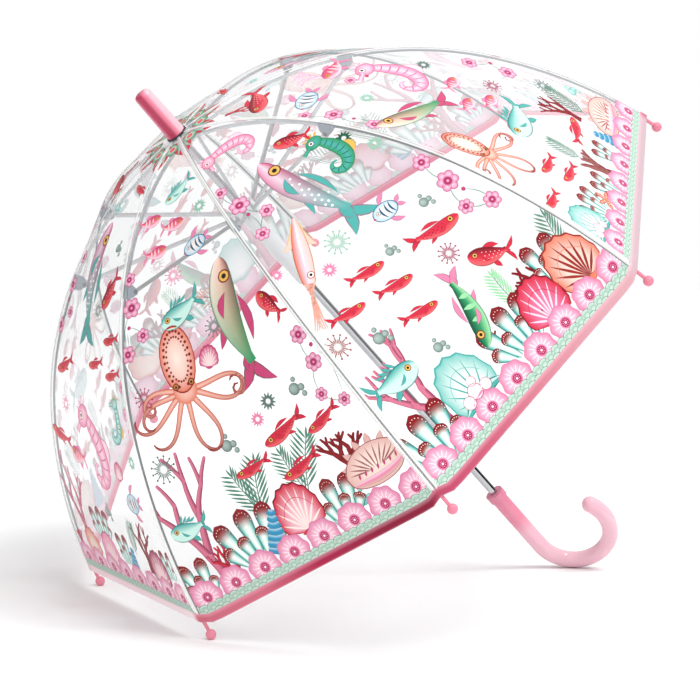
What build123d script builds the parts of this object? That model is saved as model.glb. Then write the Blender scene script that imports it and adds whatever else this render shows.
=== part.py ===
from build123d import *
import os
from math import sin, cos, radians, degrees, atan2, hypot

os.makedirs("parts", exist_ok=True)

# Overall sizes. The origin is the middle of the hand grip, on the shaft axis; +Z runs to the ferrule.
rib_count = 8
apex_height = 535.0  # hand grip to the top of the rib dome
dome_radius = 337.0  # bend of the ribs' upper line
dome_turn = 52.0  # degrees of that bend, from the shaft
skirt_radius = 502.0  # gentler bend from there to the hem
skirt_turn = 19.8  # degrees of the gentler bend
tip_run = 15.5  # rod past the hem, to the middle of its tip

# Clearances
glue_gap = 0.05  # between pieces fixed to each other
seam_gap = 0.3  # between neighbouring soft panels
moving_gap = 0.3  # between pieces that pass each other
slide_fit = 0.08  # runner on shaft, radial
pivot_fit = 0.05  # stretcher eye on rivet, radial

# Shaft and fittings at its top
shaft_radius = 4.0
shaft_wall = 0.6
shaft_in_ferrule = 25.0
shaft_in_handle = 60.0
ferrule_base_radius = 9.25
ferrule_end_radius = 8.25
ferrule_length = 50.8
ferrule_end_round = 4.5
washer_radius = 10.5
washer_thick = 1.4
notch_radius = 11.5
notch_height = 11.5
notch_rise = 1.5  # notch top above the rib dome
notch_slot_floor = 6.3  # how near the axis a rib's slot reaches
wire_radius = 0.45
notch_wire_ring = 8.5
notch_wire_drop = 5.0  # below the top of the rib dome

# Ribs
channel_width = 3.0
channel_half = 1.2
channel_groove_width = 1.6
channel_groove_floor = 0.4
channel_eye_radius = 1.9
channel_eye_gap = 0.35  # round the wire
channel_end_plain = 5.0  # ungrooved length by the eye
clip_turn = 30.13  # degrees from the shaft, where the channel ends in its clip
rod_radius = 1.1
rod_start = 2.4  # past the channel's end, outside the clip
tip_radius = 4.75
tip_sleeve_radius = 1.7
tip_sleeve_length = 15.0

# Clips and stretchers
clip_width = 6.2
clip_back = 12.0  # over the channel
clip_front = 1.0  # past the channel's end
clip_top = 2.2
clip_floor = 5.0
clip_pocket_half = 1.55
clip_cheek_radius = 3.0
pivot_back = 6.5
pivot_drop = 8.6
rivet_radius = 0.9
rivet_head_radius = 1.8
rivet_head_thick = 0.6
stretcher_width = 3.0
stretcher_half = 1.6
stretcher_eye_radius = 1.8
stretcher_end_radius = 11.5  # from the axis, at the runner
stretcher_drop = 46.5  # clip pivot down to the runner pivot
stretcher_groove_width = 1.6
stretcher_groove_depth = 2.0
stretcher_plain_end = 10.0

# Runner
crown_radius = 13.0
crown_height = 13.0
crown_slot_floor = 9.3
runner_radius = 8.3
runner_length = 72.0  # crown top to the collar
runner_wire_ring = 9.0
runner_land = 8.0  # length of each bearing land
runner_relief = 2.2
collar_radius = 7.4
collar_length = 25.0

# Handle
handle_radius = 8.2
handle_collar_radius = 9.6
handle_collar_height = 8.0
handle_top = 40.3  # collar top above the grip's middle
hook_centre_drop = 40.8
hook_radius = 38.6
hook_sweep = 207.0

# Canopy
film_lift = 3.3  # film's inside above the ribs' middle line
film_thick = 0.4
film_hole_gap = 1.0  # round the shaft
hem_width = 8.0
hem_wrap = 0.55  # binding outside the film, each side

half_angle = 180.0 / rib_count
dome_centre = (0.0, apex_height - dome_radius)


def on_arc(centre, radius, turn):
    # a point of an arc, by its turn away from the shaft
    return (centre[0] + radius * sin(radians(turn)), centre[1] + radius * cos(radians(turn)))


skirt_start = on_arc(dome_centre, dome_radius, dome_turn)
skirt_centre = on_arc(skirt_start, -skirt_radius, dome_turn)
hem_turn = dome_turn + skirt_turn
tip_turn = hem_turn + degrees(tip_run / skirt_radius)
tip_point = on_arc(skirt_centre, skirt_radius, tip_turn)
channel_end = on_arc(dome_centre, dome_radius, clip_turn)
channel_pivot = (notch_wire_ring, apex_height - notch_wire_drop)
along = (cos(radians(clip_turn)), -sin(radians(clip_turn)))
outward = (sin(radians(clip_turn)), cos(radians(clip_turn)))
to_pivot = (channel_pivot[0] - channel_end[0], channel_pivot[1] - channel_end[1])
lean = to_pivot[0] * outward[0] + to_pivot[1] * outward[1]
channel_bend = (to_pivot[0] ** 2 + to_pivot[1] ** 2) / (-2 * lean)
channel_centre = on_arc(channel_end, -channel_bend, clip_turn)
pivot_turn = degrees(atan2(channel_pivot[0] - channel_centre[0], channel_pivot[1] - channel_centre[1]))
clip_pivot = (
    channel_end[0] - pivot_back * along[0] - pivot_drop * outward[0],
    channel_end[1] - pivot_back * along[1] - pivot_drop * outward[1],
)
runner_level = clip_pivot[1] - stretcher_drop
stretcher_tail = (stretcher_end_radius, runner_level)
stretcher_run = (stretcher_tail[0] - clip_pivot[0], stretcher_tail[1] - clip_pivot[1])
stretcher_length = hypot(*stretcher_run)
stretcher_angle = degrees(atan2(stretcher_run[1], stretcher_run[0]))
film_top = apex_height + film_lift + film_thick
washer_floor = film_top + moving_gap
ferrule_floor = washer_floor + washer_thick + glue_gap
runner_top = runner_level + crown_height / 2


def rib_azimuth(k):
    return (k + 0.5) * 360.0 / rib_count


def upright(azimuth):
    # a plane through the shaft axis: x outwards, y up
    way = radians(azimuth)
    return Plane(origin=(0, 0, 0), x_dir=(cos(way), sin(way), 0), z_dir=(sin(way), -cos(way), 0))


def across(azimuth, point, turn):
    # a plane square to a rib's line at one of its points
    way, dip = radians(azimuth), radians(turn)
    heading = (cos(dip) * cos(way), cos(dip) * sin(way), -sin(dip))
    return Plane(origin=(point[0] * cos(way), point[0] * sin(way), point[1]), z_dir=heading)


def arc(centre, radius, first, last, squeeze):
    # an arc between two turns from the shaft, its middle line squeezed towards the axis
    if squeeze == 1:
        return CenterArc(centre, radius, 90 - last, last - first)
    middle = (centre[0] * squeeze, centre[1])
    return EllipticalCenterArc(middle, radius * squeeze, radius, 90 - last, arc_size=last - first)


def band(centre, inner, outer, first, last, squeeze=1):
    # the closed outline between two arcs of one centre
    low = arc(centre, inner, first, last, squeeze)
    high = arc(centre, outer, first, last, squeeze)
    Line(low @ 0, high @ 0)
    Line(low @ 1, high @ 1)


def finish(piece, label):
    piece.part.label = label
    export_step(piece.part, "parts/" + label + ".step")


with BuildPart() as shaft_tube:
    shaft_top = ferrule_floor + shaft_in_ferrule
    shaft_floor = handle_top - shaft_in_handle
    with BuildSketch(Plane.XY.offset(shaft_floor)):
        Circle(shaft_radius)
        Circle(shaft_radius - shaft_wall, mode=Mode.SUBTRACT)
    extrude(amount=shaft_top - shaft_floor)
finish(shaft_tube, "shaft_tube")

with BuildPart() as ferrule:
    with BuildSketch(Plane.XZ):
        with BuildLine():
            Polyline(
                (0, ferrule_floor),
                (ferrule_base_radius, ferrule_floor),
                (ferrule_end_radius, ferrule_floor + ferrule_length),
                (0, ferrule_floor + ferrule_length),
                close=True,
            )
        make_face()
    revolve(axis=Axis.Z)
    fillet(ferrule.edges().group_by(Axis.Z)[-1], min(ferrule_end_round, ferrule_end_radius / 2))
    with BuildSketch(Plane.XY.offset(ferrule_floor)):
        Circle(shaft_radius + glue_gap)
    extrude(amount=shaft_in_ferrule + 1, mode=Mode.SUBTRACT)
finish(ferrule, "ferrule")

with BuildPart() as canopy_washer:
    with BuildSketch(Plane.XY.offset(washer_floor)):
        Circle(washer_radius)
        Circle(shaft_radius + glue_gap, mode=Mode.SUBTRACT)
    extrude(amount=washer_thick)
finish(canopy_washer, "canopy_washer")

with BuildPart() as notch_wire:
    with BuildSketch(Plane.XZ):
        with Locations(channel_pivot):
            Circle(wire_radius)
    revolve(axis=Axis.Z)
finish(notch_wire, "notch_wire")

with BuildPart() as top_notch:
    with BuildSketch(Plane.XY.offset(apex_height + notch_rise)):
        Circle(notch_radius)
        Circle(shaft_radius + glue_gap, mode=Mode.SUBTRACT)
        with PolarLocations(notch_slot_floor + notch_radius, rib_count, start_angle=half_angle):
            Rectangle(2 * notch_radius, channel_width + 2 * moving_gap, mode=Mode.SUBTRACT)
    extrude(amount=-notch_height)
    with BuildSketch(Plane.XZ):
        with Locations(channel_pivot):
            Circle(wire_radius + glue_gap)
    revolve(axis=Axis.Z, mode=Mode.SUBTRACT)
finish(top_notch, "top_notch")

with BuildPart() as runner:
    with BuildSketch(Plane.XY.offset(runner_top)):
        Circle(crown_radius)
    extrude(amount=-crown_height)
    with BuildSketch(Plane.XY.offset(runner_top - crown_height)):
        Circle(runner_radius)
    extrude(amount=crown_height - runner_length)
    with BuildSketch(Plane.XY.offset(runner_top)):
        with PolarLocations(crown_slot_floor + crown_radius, rib_count, start_angle=half_angle):
            Rectangle(2 * crown_radius, stretcher_width + 2 * moving_gap)
    extrude(amount=-crown_height, mode=Mode.SUBTRACT)
    with BuildSketch(Plane.XY.offset(runner_top)):
        Circle(shaft_radius + slide_fit)
    extrude(amount=-runner_length, mode=Mode.SUBTRACT)
    with BuildSketch(Plane.XY.offset(runner_top - runner_land)):
        Circle(shaft_radius + runner_relief)
    extrude(amount=2 * runner_land - runner_length, mode=Mode.SUBTRACT)
    with BuildSketch(Plane.XZ):
        with Locations((runner_wire_ring, runner_level)):
            Circle(wire_radius + glue_gap)
    revolve(axis=Axis.Z, mode=Mode.SUBTRACT)
finish(runner, "runner")

with BuildPart() as runner_wire:
    with BuildSketch(Plane.XZ):
        with Locations((runner_wire_ring, runner_level)):
            Circle(wire_radius)
    revolve(axis=Axis.Z)
finish(runner_wire, "runner_wire")

with BuildPart() as runner_collar:
    with BuildSketch(Plane.XY.offset(runner_top - runner_length - glue_gap)):
        Circle(collar_radius)
        Circle(shaft_radius + slide_fit, mode=Mode.SUBTRACT)
    extrude(amount=-collar_length)
finish(runner_collar, "runner_collar")

with BuildPart() as handle:
    with BuildLine(Plane.XZ):
        stem = Line((0, handle_top), (0, -hook_centre_drop))
        CenterArc((hook_radius, -hook_centre_drop), hook_radius, 180, hook_sweep)
    with BuildSketch(Plane.XY.offset(handle_top)):
        Circle(handle_radius)
    sweep()
    hook_end = on_arc((hook_radius, -hook_centre_drop), hook_radius, 270 - hook_sweep)
    with Locations((hook_end[0], 0, hook_end[1])):
        Sphere(handle_radius)
    with BuildSketch(Plane.XY.offset(handle_top)):
        Circle(handle_collar_radius)
    extrude(amount=-handle_collar_height)
    with BuildSketch(Plane.XY.offset(handle_top)):
        Circle(shaft_radius + glue_gap)
    extrude(amount=-shaft_in_handle - 1, mode=Mode.SUBTRACT)
finish(handle, "handle")

for k in range(rib_count):
    rib_plane = upright(rib_azimuth(k))
    clip_plane = Plane(rib_plane * Location((channel_end[0], channel_end[1], 0), (0, 0, -clip_turn)))

    with BuildPart() as rib_channel:
        with BuildSketch(rib_plane):
            with BuildLine():
                band(
                    channel_centre,
                    channel_bend - channel_half,
                    channel_bend + channel_half,
                    pivot_turn,
                    clip_turn,
                )
            make_face()
            with Locations(channel_pivot):
                Circle(channel_eye_radius)
        extrude(amount=channel_width / 2, both=True)
        with BuildSketch(rib_plane):
            with Locations(channel_pivot):
                Circle(wire_radius + channel_eye_gap)
        extrude(amount=channel_width, both=True, mode=Mode.SUBTRACT)
        with BuildSketch(rib_plane):
            with BuildLine():
                band(
                    channel_centre,
                    channel_bend - channel_eye_radius,
                    channel_bend + channel_groove_floor,
                    pivot_turn + degrees(channel_end_plain / channel_bend),
                    clip_turn + 1,
                )
            make_face()
        extrude(amount=channel_groove_width / 2, both=True, mode=Mode.SUBTRACT)
    finish(rib_channel, f"rib_channel_{k}")

    with BuildPart() as rib_rod:
        rod_turn = clip_turn + degrees(rod_start / dome_radius)
        rod_first = on_arc(dome_centre, dome_radius, rod_turn)
        with BuildLine(rib_plane):
            CenterArc(dome_centre, dome_radius, 90 - rod_turn, rod_turn - dome_turn)
            CenterArc(skirt_centre, skirt_radius, 90 - dome_turn, dome_turn - tip_turn)
        with BuildSketch(across(rib_azimuth(k), rod_first, rod_turn)):
            Circle(rod_radius)
        sweep()
    finish(rib_rod, f"rib_rod_{k}")

    with BuildPart() as rib_tip:
        tip_plane = across(rib_azimuth(k), tip_point, tip_turn)
        with Locations(tip_plane.location):
            Sphere(tip_radius)
        with BuildSketch(tip_plane):
            Circle(tip_sleeve_radius)
        extrude(amount=-tip_sleeve_length)
        with BuildLine(rib_plane):
            CenterArc(skirt_centre, skirt_radius, 90 - tip_turn, degrees((tip_sleeve_length + 3) / skirt_radius))
        with BuildSketch(tip_plane):
            Circle(rod_radius + glue_gap)
        sweep(mode=Mode.SUBTRACT)
    finish(rib_tip, f"rib_tip_{k}")

    with BuildPart() as rib_clip:
        with BuildSketch(clip_plane):
            with Locations(((clip_front - clip_back) / 2, (clip_top - clip_floor) / 2)):
                Rectangle(clip_front + clip_back, clip_top + clip_floor)
            with Locations((-pivot_back, -pivot_drop)):
                Circle(clip_cheek_radius)
            make_hull()
        extrude(amount=clip_width / 2, both=True)
        with BuildSketch(clip_plane):
            with Locations((-pivot_back, -clip_floor - clip_back)):
                Rectangle(4 * clip_back, 2 * clip_back)
        extrude(amount=stretcher_width / 2 + moving_gap, both=True, mode=Mode.SUBTRACT)
        with BuildSketch(clip_plane):
            with Locations((-clip_back, 0)):
                Rectangle(2 * clip_back + 2 * glue_gap, 2 * clip_pocket_half)
        extrude(amount=channel_width / 2 + glue_gap, both=True, mode=Mode.SUBTRACT)
        with BuildSketch(clip_plane):
            with Locations((-pivot_back, -pivot_drop)):
                Circle(rivet_radius + glue_gap)
        extrude(amount=clip_width, both=True, mode=Mode.SUBTRACT)
        with BuildSketch(clip_plane):
            with Locations((-pivot_back, -pivot_drop)):
                Circle(rivet_radius)
        extrude(amount=clip_width / 2 + 2 * glue_gap, both=True)
        for side in (1, -1):
            with BuildSketch(clip_plane.offset(side * (clip_width / 2 + glue_gap))):
                with Locations((-pivot_back, -pivot_drop)):
                    Circle(rivet_head_radius)
            extrude(amount=side * rivet_head_thick)
    finish(rib_clip, f"rib_clip_{k}")

    with BuildPart() as stretcher:
        bar_plane = Plane(rib_plane * Location((clip_pivot[0], clip_pivot[1], 0), (0, 0, stretcher_angle)))
        with BuildSketch(bar_plane):
            with Locations((stretcher_length / 2, 0)):
                SlotCenterToCenter(stretcher_length, 2 * stretcher_half)
            Circle(stretcher_eye_radius)
        extrude(amount=stretcher_width / 2, both=True)
        with BuildSketch(bar_plane):
            Circle(rivet_radius + pivot_fit)
        extrude(amount=stretcher_width, both=True, mode=Mode.SUBTRACT)
        with BuildSketch(bar_plane):
            with Locations((stretcher_length / 2, stretcher_half)):
                Rectangle(stretcher_length - 2 * stretcher_plain_end, 2 * stretcher_groove_depth)
        extrude(amount=stretcher_groove_width / 2, both=True, mode=Mode.SUBTRACT)
    finish(stretcher, f"stretcher_{k}")

    # a soft panel: straight from rib to rib, so its middle line is the rib line squeezed
    with BuildPart() as canopy_panel:
        panel_plane = upright(rib_azimuth(k) + half_angle)
        squeeze = cos(radians(half_angle))
        reach = tip_point[0] * sin(radians(half_angle))
        apex_turn = degrees((shaft_radius + film_hole_gap) / (dome_radius * squeeze))
        hem_start = hem_turn - degrees(hem_width / skirt_radius)
        inner = film_lift
        outer = film_lift + film_thick
        with BuildSketch(panel_plane):
            with BuildLine():
                band(dome_centre, dome_radius + inner, dome_radius + outer, apex_turn, dome_turn, squeeze)
            make_face()
            with BuildLine():
                band(skirt_centre, skirt_radius + inner, skirt_radius + outer, dome_turn, hem_turn, squeeze)
            make_face()
        extrude(amount=reach, both=True)
        with BuildSketch(panel_plane):
            with BuildLine():
                band(
                    skirt_centre,
                    skirt_radius + inner - hem_wrap,
                    skirt_radius + outer + hem_wrap,
                    hem_start,
                    hem_turn + degrees(hem_wrap / skirt_radius),
                    squeeze,
                )
            make_face()
        extrude(amount=reach, both=True)
        with BuildSketch(Plane.XY.offset(apex_height - 2 * dome_radius)):
            way = rib_azimuth(k)
            with BuildLine(Plane.XY.rotated((0, 0, way + half_angle))):
                far = 2 * tip_point[0]
                near = seam_gap / 2 / sin(radians(half_angle))
                Polyline(
                    (near, 0),
                    (near + far, far * sin(radians(half_angle)) / squeeze),
                    (near + far, -far * sin(radians(half_angle)) / squeeze),
                    close=True,
                )
            make_face()
        extrude(amount=3 * dome_radius, mode=Mode.INTERSECT)
    finish(canopy_panel, f"canopy_panel_{k}")
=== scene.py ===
import random
from math import cos, degrees, hypot, pi, radians, sin

import bmesh
import bpy
import numpy as np
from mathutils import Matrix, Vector


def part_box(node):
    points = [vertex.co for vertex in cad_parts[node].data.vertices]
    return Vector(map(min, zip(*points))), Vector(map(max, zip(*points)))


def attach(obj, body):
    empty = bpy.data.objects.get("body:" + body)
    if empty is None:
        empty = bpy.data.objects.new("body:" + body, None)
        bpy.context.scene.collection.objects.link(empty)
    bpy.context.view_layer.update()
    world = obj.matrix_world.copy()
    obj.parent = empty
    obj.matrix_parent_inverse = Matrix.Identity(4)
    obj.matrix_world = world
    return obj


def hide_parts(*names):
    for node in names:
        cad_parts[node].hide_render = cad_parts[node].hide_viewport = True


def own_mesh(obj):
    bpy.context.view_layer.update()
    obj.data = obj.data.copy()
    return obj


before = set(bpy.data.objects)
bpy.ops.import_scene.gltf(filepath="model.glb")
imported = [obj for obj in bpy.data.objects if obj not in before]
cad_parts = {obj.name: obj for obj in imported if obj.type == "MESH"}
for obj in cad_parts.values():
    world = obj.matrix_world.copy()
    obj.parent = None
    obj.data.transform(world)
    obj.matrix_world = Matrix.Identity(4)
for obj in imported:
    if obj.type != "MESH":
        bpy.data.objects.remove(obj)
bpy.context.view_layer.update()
ribCount = 8
halfAngle = pi / ribCount


def linear(colour):
    # from levels of 0 to 255 to linear light
    c = np.array(colour, float) / 255.0
    return np.where(c <= 0.04045, c / 12.92, ((c + 0.055) / 1.055) ** 2.4)


def rgba(colour):
    return (*[float(x) for x in linear(colour)], 1.0)


def clearSelection():
    if bpy.context.object and bpy.context.object.mode != "OBJECT":
        bpy.ops.object.mode_set(mode="OBJECT")
    bpy.ops.object.select_all(action="DESELECT")


def setValues(node, values):
    for socket, value in values.items():
        node.inputs[socket].default_value = value


def newMaterial(name, values):
    # the values are those that are the same all over, set on the shader itself
    material = bpy.data.materials.new(name)
    material.use_nodes = True
    shader = material.node_tree.nodes["Principled BSDF"]
    setValues(shader, values)
    return material, material.node_tree, shader


def addNode(tree, kind, values=None, **settings):
    node = tree.nodes.new("ShaderNode" + kind)
    for name, setting in settings.items():
        setattr(node, name, setting)
    setValues(node, values or {})
    return node


def join(tree, *pairs):
    for start, end in pairs:
        tree.links.new(start, end)


def fillRamp(ramp, stops):
    elements = ramp.color_ramp.elements
    while len(elements) < len(stops):
        elements.new(0.5)
    for element, (position, colour) in zip(elements, stops):
        element.position = position
        element.color = rgba(colour)


def mixShaders(tree, share, first, second):
    # the surface turns from the first shader to the second as the share grows
    mix = addNode(tree, "MixShader")
    join(tree, (share, mix.inputs["Fac"]), (first.outputs["BSDF"], mix.inputs[1]),
         (second.outputs["BSDF"], mix.inputs[2]),
         (mix.outputs["Shader"], tree.nodes["Material Output"].inputs["Surface"]))


def noiseColour(tree, shader, low, high, scale):
    # a faint cloudy change of colour over a piece
    place = addNode(tree, "TexCoord")
    noise = addNode(tree, "TexNoise", {"Scale": scale, "Detail": 3.0})
    ramp = addNode(tree, "ValToRGB")
    fillRamp(ramp, ((0.3, low), (0.7, high)))
    join(tree, (place.outputs["Object"], noise.inputs["Vector"]), (noise.outputs["Fac"], ramp.inputs["Fac"]),
         (ramp.outputs["Color"], shader.inputs["Base Color"]))
    return place, noise


plastics = {
    "scale": 24.0,  # of the clouding
    "pinkMoulding": ((222, 124, 146), (228, 134, 154), 0.25),  # two tones and a roughness
    "whiteMoulding": ((206, 210, 212), (218, 221, 222), 0.35),
    "clipMoulding": ((112, 124, 138), (126, 138, 150), 0.4),
    "glassRod": ((78, 82, 88), (96, 100, 106), 0.3),
    "darkWasher": ((36, 38, 42), (52, 54, 58), 0.5),
}
metals = {
    "scale": 60.0,
    "stretch": 0.04,  # draws the clouding out along the shaft
    "polishedShaft": ((168, 170, 174), (196, 198, 201), 0.08),
    "zincChannel": ((176, 178, 182), (206, 208, 210), 0.34),
    "drawnWire": ((150, 152, 156), (180, 182, 184), 0.3),
}


def glossyPlastic(name):
    low, high, roughness = plastics[name]
    material, tree, shader = newMaterial(name, {"Roughness": roughness})
    noiseColour(tree, shader, low, high, plastics["scale"])
    return material


def brushedMetal(name):
    low, high, roughness = metals[name]
    material, tree, shader = newMaterial(name, {"Metallic": 1.0, "Roughness": roughness})
    place, noise = noiseColour(tree, shader, low, high, metals["scale"])
    mapping = addNode(tree, "Mapping", {"Scale": (1.0, 1.0, metals["stretch"])})
    join(tree, (place.outputs["Object"], mapping.inputs["Vector"]),
         (mapping.outputs["Vector"], noise.inputs["Vector"]))
    return material


# mouldings with painted shade and painted light: the colour runs from a shaded side to a lit side along one way
# (the ferrule lit on one flank, the handle's hook below paler than its grip); the way, how far it reaches, the
# roughness and the colours
shaded = {
    "ferrulePaintedShade": {"way": (0.878, 0.478, 0.0), "reach": 0.0092, "roughness": 0.25, "stops": (
        (0.0, (226, 120, 148)), (0.2, (182, 44, 84)), (0.36, (180, 46, 84)), (0.58, (230, 128, 152)),
        (0.76, (240, 182, 194)))},
    "handlePaintedShade": {"way": (0.0, 0.0, 1.0), "reach": 0.05, "roughness": 0.13, "stops": (
        (0.0, (228, 182, 194)), (0.3, (229, 176, 190)), (0.55, (220, 134, 156)), (0.9, (214, 128, 152)))},
}


# the colour along the way is painted shade and painted light, not the moulding's own colour
def shadedPlastic(name):
    facts = shaded[name]
    material, tree, shader = newMaterial(name, {"Roughness": facts["roughness"]})
    place = addNode(tree, "TexCoord")
    lean = addNode(tree, "VectorMath", {1: facts["way"]}, operation="DOT_PRODUCT")
    level = addNode(tree, "MapRange", {"From Min": -facts["reach"], "From Max": facts["reach"]})
    ramp = addNode(tree, "ValToRGB")
    ramp.color_ramp.interpolation = "EASE"
    fillRamp(ramp, facts["stops"])
    join(tree, (place.outputs["Object"], lean.inputs[0]), (lean.outputs["Value"], level.inputs["Value"]),
         (level.outputs["Result"], ramp.inputs["Fac"]), (ramp.outputs["Color"], shader.inputs["Base Color"]))
    return material


rivet = {"fromShaft": 0.15922, "above": 0.003, "radius": 0.0019, "colour": (24, 24, 28)}


def addRivet(material):
    # a dark rivet head on each clip, found by its distance from the shaft and its height
    tree = material.node_tree
    colour = tree.nodes["Principled BSDF"].inputs["Base Color"]
    plain = colour.links[0].from_socket
    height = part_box("rib_clip_0")[0].z + rivet["above"]
    place = addNode(tree, "TexCoord").outputs["Object"]
    split = addNode(tree, "SeparateXYZ")
    flat = addNode(tree, "VectorMath", {1: (1, 1, 0)}, operation="MULTIPLY")
    reach = addNode(tree, "VectorMath", operation="LENGTH")
    spotAt = addNode(tree, "CombineXYZ")
    away = addNode(tree, "VectorMath", {1: (rivet["fromShaft"], 0, height)}, operation="DISTANCE")
    inside = addNode(tree, "Math", {1: rivet["radius"]}, operation="LESS_THAN")
    mix = addNode(tree, "Mix", {"B": rgba(rivet["colour"])}, data_type="RGBA")
    join(tree, (place, split.inputs["Vector"]), (place, flat.inputs[0]),
         (flat.outputs["Vector"], reach.inputs[0]),
         (reach.outputs["Value"], spotAt.inputs["X"]), (split.outputs["Z"], spotAt.inputs["Z"]),
         (spotAt.outputs["Vector"], away.inputs[0]), (away.outputs["Value"], inside.inputs[0]),
         (inside.outputs["Value"], mix.inputs["Factor"]), (plain, mix.inputs["A"]),
         (mix.outputs["Result"], colour))


clearSheet = {"colour": (246, 248, 249), "tint": (0.985, 0.99, 0.99, 1.0), "blend": 0.35, "least": 0.11,
              "most": 0.55}


def filmMaterial():
    # clear sheet: a little milky, more so where it is seen along its surface
    material, tree, shader = newMaterial("clearSheet", {
        "Base Color": rgba(clearSheet["colour"]), "Roughness": 0.12, "Specular IOR Level": 0.6})
    through = addNode(tree, "BsdfTransparent", {"Color": clearSheet["tint"]})
    edge = addNode(tree, "LayerWeight", {"Blend": clearSheet["blend"]})
    level = addNode(tree, "MapRange", {"From Min": 0.0, "From Max": 1.0, "To Min": clearSheet["least"],
                                       "To Max": clearSheet["most"]})
    join(tree, (edge.outputs["Facing"], level.inputs["Value"]))
    mixShaders(tree, level.outputs["Result"], through, shader)
    return material


def seamMaterial():
    material, tree, shader = newMaterial("weldedSeam", {"Roughness": 0.2})
    attribute = addNode(tree, "Attribute", attribute_name="ink")
    join(tree, (attribute.outputs["Color"], shader.inputs["Base Color"]))
    mixShaders(tree, attribute.outputs["Alpha"], addNode(tree, "BsdfTransparent"), shader)
    return material


# the print's inner side made paler towards a near white: partly the white under the ink, partly painted light
# standing in for light shining through the sheet from behind
paintedBacklight = {"colour": (246, 240, 247), "share": 0.32}


def inkAndPaintedLightMaterial(name, roughness):
    material, tree, shader = newMaterial(name, {"Roughness": roughness, "Specular IOR Level": 0.25})
    attribute = addNode(tree, "Attribute", attribute_name="ink")
    # on the inner side the colour is mixed towards the paler colour: painted light
    side = addNode(tree, "NewGeometry")
    share = addNode(tree, "Math", {1: paintedBacklight["share"]}, operation="MULTIPLY")
    mix = addNode(tree, "Mix", {"B": rgba(paintedBacklight["colour"])}, data_type="RGBA")
    join(tree, (side.outputs["Backfacing"], share.inputs[0]), (share.outputs["Value"], mix.inputs["Factor"]),
         (attribute.outputs["Color"], mix.inputs["A"]), (mix.outputs["Result"], shader.inputs["Base Color"]))
    return material


chromeFinish, channelFinish, wireFinish = [
    brushedMetal(name) for name in ("polishedShaft", "zincChannel", "drawnWire")]
pinkFinish, whiteFinish, clipFinish, rodFinish, washerFinish = [
    glossyPlastic(name)
    for name in ("pinkMoulding", "whiteMoulding", "clipMoulding", "glassRod", "darkWasher")]
# the ferrule and handle colours are painted shade and painted light
ferrulePaintedShadeFinish, handlePaintedShadeFinish = shadedPlastic("ferrulePaintedShade"), shadedPlastic("handlePaintedShade")
addRivet(clipFinish)
filmFinish = filmMaterial()
seamFinish = seamMaterial()
printWithPaintedBacklight = inkAndPaintedLightMaterial("printedInkPaintedBacklight", 0.35)
# the hem's colours, painted light and shade, are read through the same colour attribute
hemPaintedLight = inkAndPaintedLightMaterial("hemBindingPaintedLight", 0.25)
print("finishes made")

dome = {
    "bend": 0.337,  # of the ribs' upper line
    "turn": radians(52.0),
    "skirtBend": 0.502,
    "hemTurn": radians(19.8),
    "filmLift": 0.0035,  # film above the ribs' middle line
    "apexHole": 0.0055,
    "underWasher": 0.004,
    "clipTurn": radians(30.13),
    "pastClip": 0.0024,
}
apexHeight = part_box("canopy_washer")[0].z - dome["underWasher"]
domeRun = dome["bend"] * dome["turn"]
hemRun = domeRun + dome["skirtBend"] * dome["hemTurn"]
clipRun = dome["bend"] * dome["clipTurn"] + dome["pastClip"]


def domeLine(run, lift):
    # radius and height along a rib, at a distance along it from the top
    run = np.asarray(run, float)
    bend, skirt, turn = dome["bend"], dome["skirtBend"], dome["turn"]
    centreR = (bend - skirt) * sin(turn)
    centreZ = apexHeight - bend + (bend - skirt) * cos(turn)
    upper = run / bend
    lower = turn + (run - domeRun) / skirt
    r = np.where(run < domeRun, (bend + lift) * np.sin(upper), centreR + (skirt + lift) * np.sin(lower))
    z = np.where(run < domeRun, apexHeight - bend + (bend + lift) * np.cos(upper),
                 centreZ + (skirt + lift) * np.cos(lower))
    return r, z


def halfWidth(run):
    return domeLine(run, dome["filmLift"])[0] * sin(halfAngle)


# how much lower the film's foot hangs between two ribs than at them, by panel
hang = {"plain": 0.0, 5: 0.0058, 6: 0.0058, 1: 0.0058, 2: 0.0058, "from": 0.2, "power": 24}


def footDrop(panel, across, run):
    share = np.clip(np.abs(across) / np.maximum(halfWidth(run), 1e-6), 0, 1)
    near = np.clip((run - hang["from"]) / (hemRun - hang["from"]), 0, 1)
    return hang.get(panel % ribCount, hang["plain"]) * near**2 * (1 - share ** hang["power"])


def onPanel(panel, across, run, lift):
    # a point of one panel: straight across, curved down
    run = np.asarray(run, float)
    run = run + footDrop(panel, across, run)
    r, z = domeLine(run, dome["filmLift"] + lift)
    out = r * cos(halfAngle)
    way = 2 * halfAngle * (panel + 1)
    return np.stack([out * cos(way) - across * sin(way), out * sin(way) + across * cos(way), z], -1)


def onGore(k, share, run, lift):
    # the two half panels either side of rib k: share runs from -1 to 1 through the rib at 0
    share, run = np.asarray(share, float), np.asarray(run, float)
    width = domeLine(run, dome["filmLift"] + lift)[0] * sin(halfAngle)
    left = onPanel(k - 1, (1 + share) * width, run, lift)
    right = onPanel(k, (share - 1) * width, run, lift)
    return np.where((share < 0)[..., None], left, right)


def foldAway(piece, body):
    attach(piece, body)
    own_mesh(piece)


def gridPiece(name, across, down, shape, material):
    # a grid whose points are laid on the dome by shape(u, v), both from 0 to 1
    clearSelection()
    bpy.ops.mesh.primitive_grid_add(x_subdivisions=across, y_subdivisions=down, size=1.0)
    piece = bpy.context.object
    piece.name = piece.data.name = name
    flat = np.zeros(len(piece.data.vertices) * 3)
    piece.data.vertices.foreach_get("co", flat)
    flat = flat.reshape(-1, 3)
    placed = shape(flat[:, 0] + 0.5, 0.5 - flat[:, 1])
    piece.data.vertices.foreach_set("co", placed.astype(np.float32).ravel())
    piece.data.update()
    piece.data.materials.append(material)
    bpy.ops.object.shade_smooth()
    return piece


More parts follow.
